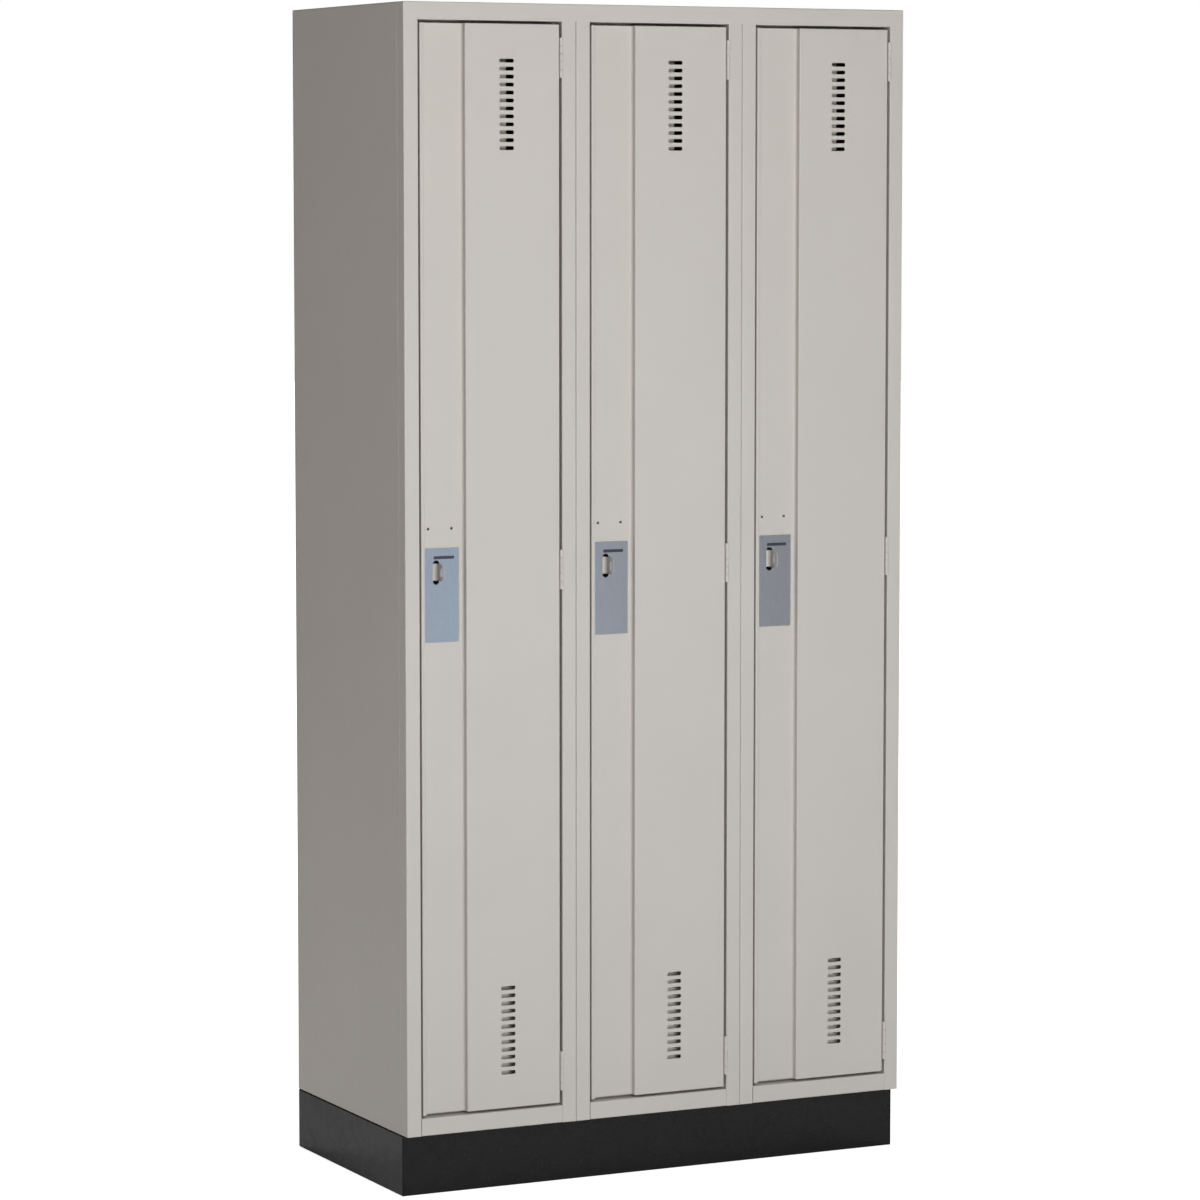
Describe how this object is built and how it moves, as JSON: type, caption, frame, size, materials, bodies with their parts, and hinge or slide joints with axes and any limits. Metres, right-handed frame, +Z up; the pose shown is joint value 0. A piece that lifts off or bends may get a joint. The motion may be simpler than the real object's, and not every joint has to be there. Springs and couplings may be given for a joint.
{
  "type": "locker cabinet",
  "caption": "Bank of tall single-tier steel lockers side by side on a recessed base, with channel-pull doors, vent slots, padlock hasps, hat shelves and coat hooks.",
  "frame": {"origin": "on the floor, at the middle of the body's footprint", "axes": "+X across the front to the viewer's right, +Y from the doors to the back, +Z up"},
  "size_m": [0.9144, 0.4672, 1.9304],
  "materials": {
    "body_paint": "light warm grey powder coat, satin, fine orange peel",
    "base_paint": "black enamel, semi-gloss",
    "stainless": "satin stainless sheet",
    "zinc_plate": "bright zinc plate"
  },
  "bodies": {
    "cabinet": {"base_front": "base_paint", "base_back": "base_paint", "base_end_left": "base_paint", "base_end_right": "base_paint", "side_panel_left": "body_paint", "side_panel_right": "body_paint", "partition_1": "body_paint", "partition_2": "body_paint", "back_panel": "body_paint", "top_panel": "body_paint", "top_rail": "body_paint", "upright_latch_1": "body_paint", "upright_hinge_1": "body_paint", "bottom_rail_1": "body_paint", "floor_pan_1": "body_paint", "hat_shelf_1": "body_paint", "padlock_strike_1": "body_paint", "coat_hook_1": "zinc_plate", "hinge_frame_leaf_1_top": "body_paint", "hinge_frame_leaf_1_middle": "body_paint", "hinge_frame_leaf_1_bottom": "body_paint", "upright_latch_2": "body_paint", "upright_hinge_2": "body_paint", "bottom_rail_2": "body_paint", "floor_pan_2": "body_paint", "hat_shelf_2": "body_paint", "padlock_strike_2": "body_paint", "coat_hook_2": "zinc_plate", "hinge_frame_leaf_2_top": "body_paint", "hinge_frame_leaf_2_middle": "body_paint", "hinge_frame_leaf_2_bottom": "body_paint", "upright_latch_3": "body_paint", "upright_hinge_3": "body_paint", "bottom_rail_3": "body_paint", "floor_pan_3": "body_paint", "hat_shelf_3": "body_paint", "padlock_strike_3": "body_paint", "coat_hook_3": "zinc_plate", "hinge_frame_leaf_3_top": "body_paint", "hinge_frame_leaf_3_middle": "body_paint", "hinge_frame_leaf_3_bottom": "body_paint"},
    "door_1": {"door_outer_1": "body_paint", "door_inner_1": "body_paint", "pull_plate_1": "stainless", "hinge_door_leaf_1_top": "body_paint", "hinge_door_leaf_1_middle": "body_paint", "hinge_door_leaf_1_bottom": "body_paint"},
    "door_2": {"door_outer_2": "body_paint", "door_inner_2": "body_paint", "pull_plate_2": "stainless", "hinge_door_leaf_2_top": "body_paint", "hinge_door_leaf_2_middle": "body_paint", "hinge_door_leaf_2_bottom": "body_paint"},
    "door_3": {"door_outer_3": "body_paint", "door_inner_3": "body_paint", "pull_plate_3": "stainless", "hinge_door_leaf_3_top": "body_paint", "hinge_door_leaf_3_middle": "body_paint", "hinge_door_leaf_3_bottom": "body_paint"}
  },
  "joints": [
    {"name": "door_1_hinge", "type": "hinge", "parent": "cabinet", "child": "door_1", "pos_m": [-0.18005, -0.2308, 1.01595], "axis": [0, 0, 1], "range_deg": [0, 170]},
    {"name": "door_2_hinge", "type": "hinge", "parent": "cabinet", "child": "door_2", "pos_m": [0.12475, -0.2308, 1.01595], "axis": [0, 0, 1], "range_deg": [0, 170]},
    {"name": "door_3_hinge", "type": "hinge", "parent": "cabinet", "child": "door_3", "pos_m": [0.42955, -0.2308, 1.01595], "axis": [0, 0, 1], "range_deg": [0, 170]}
  ]
}
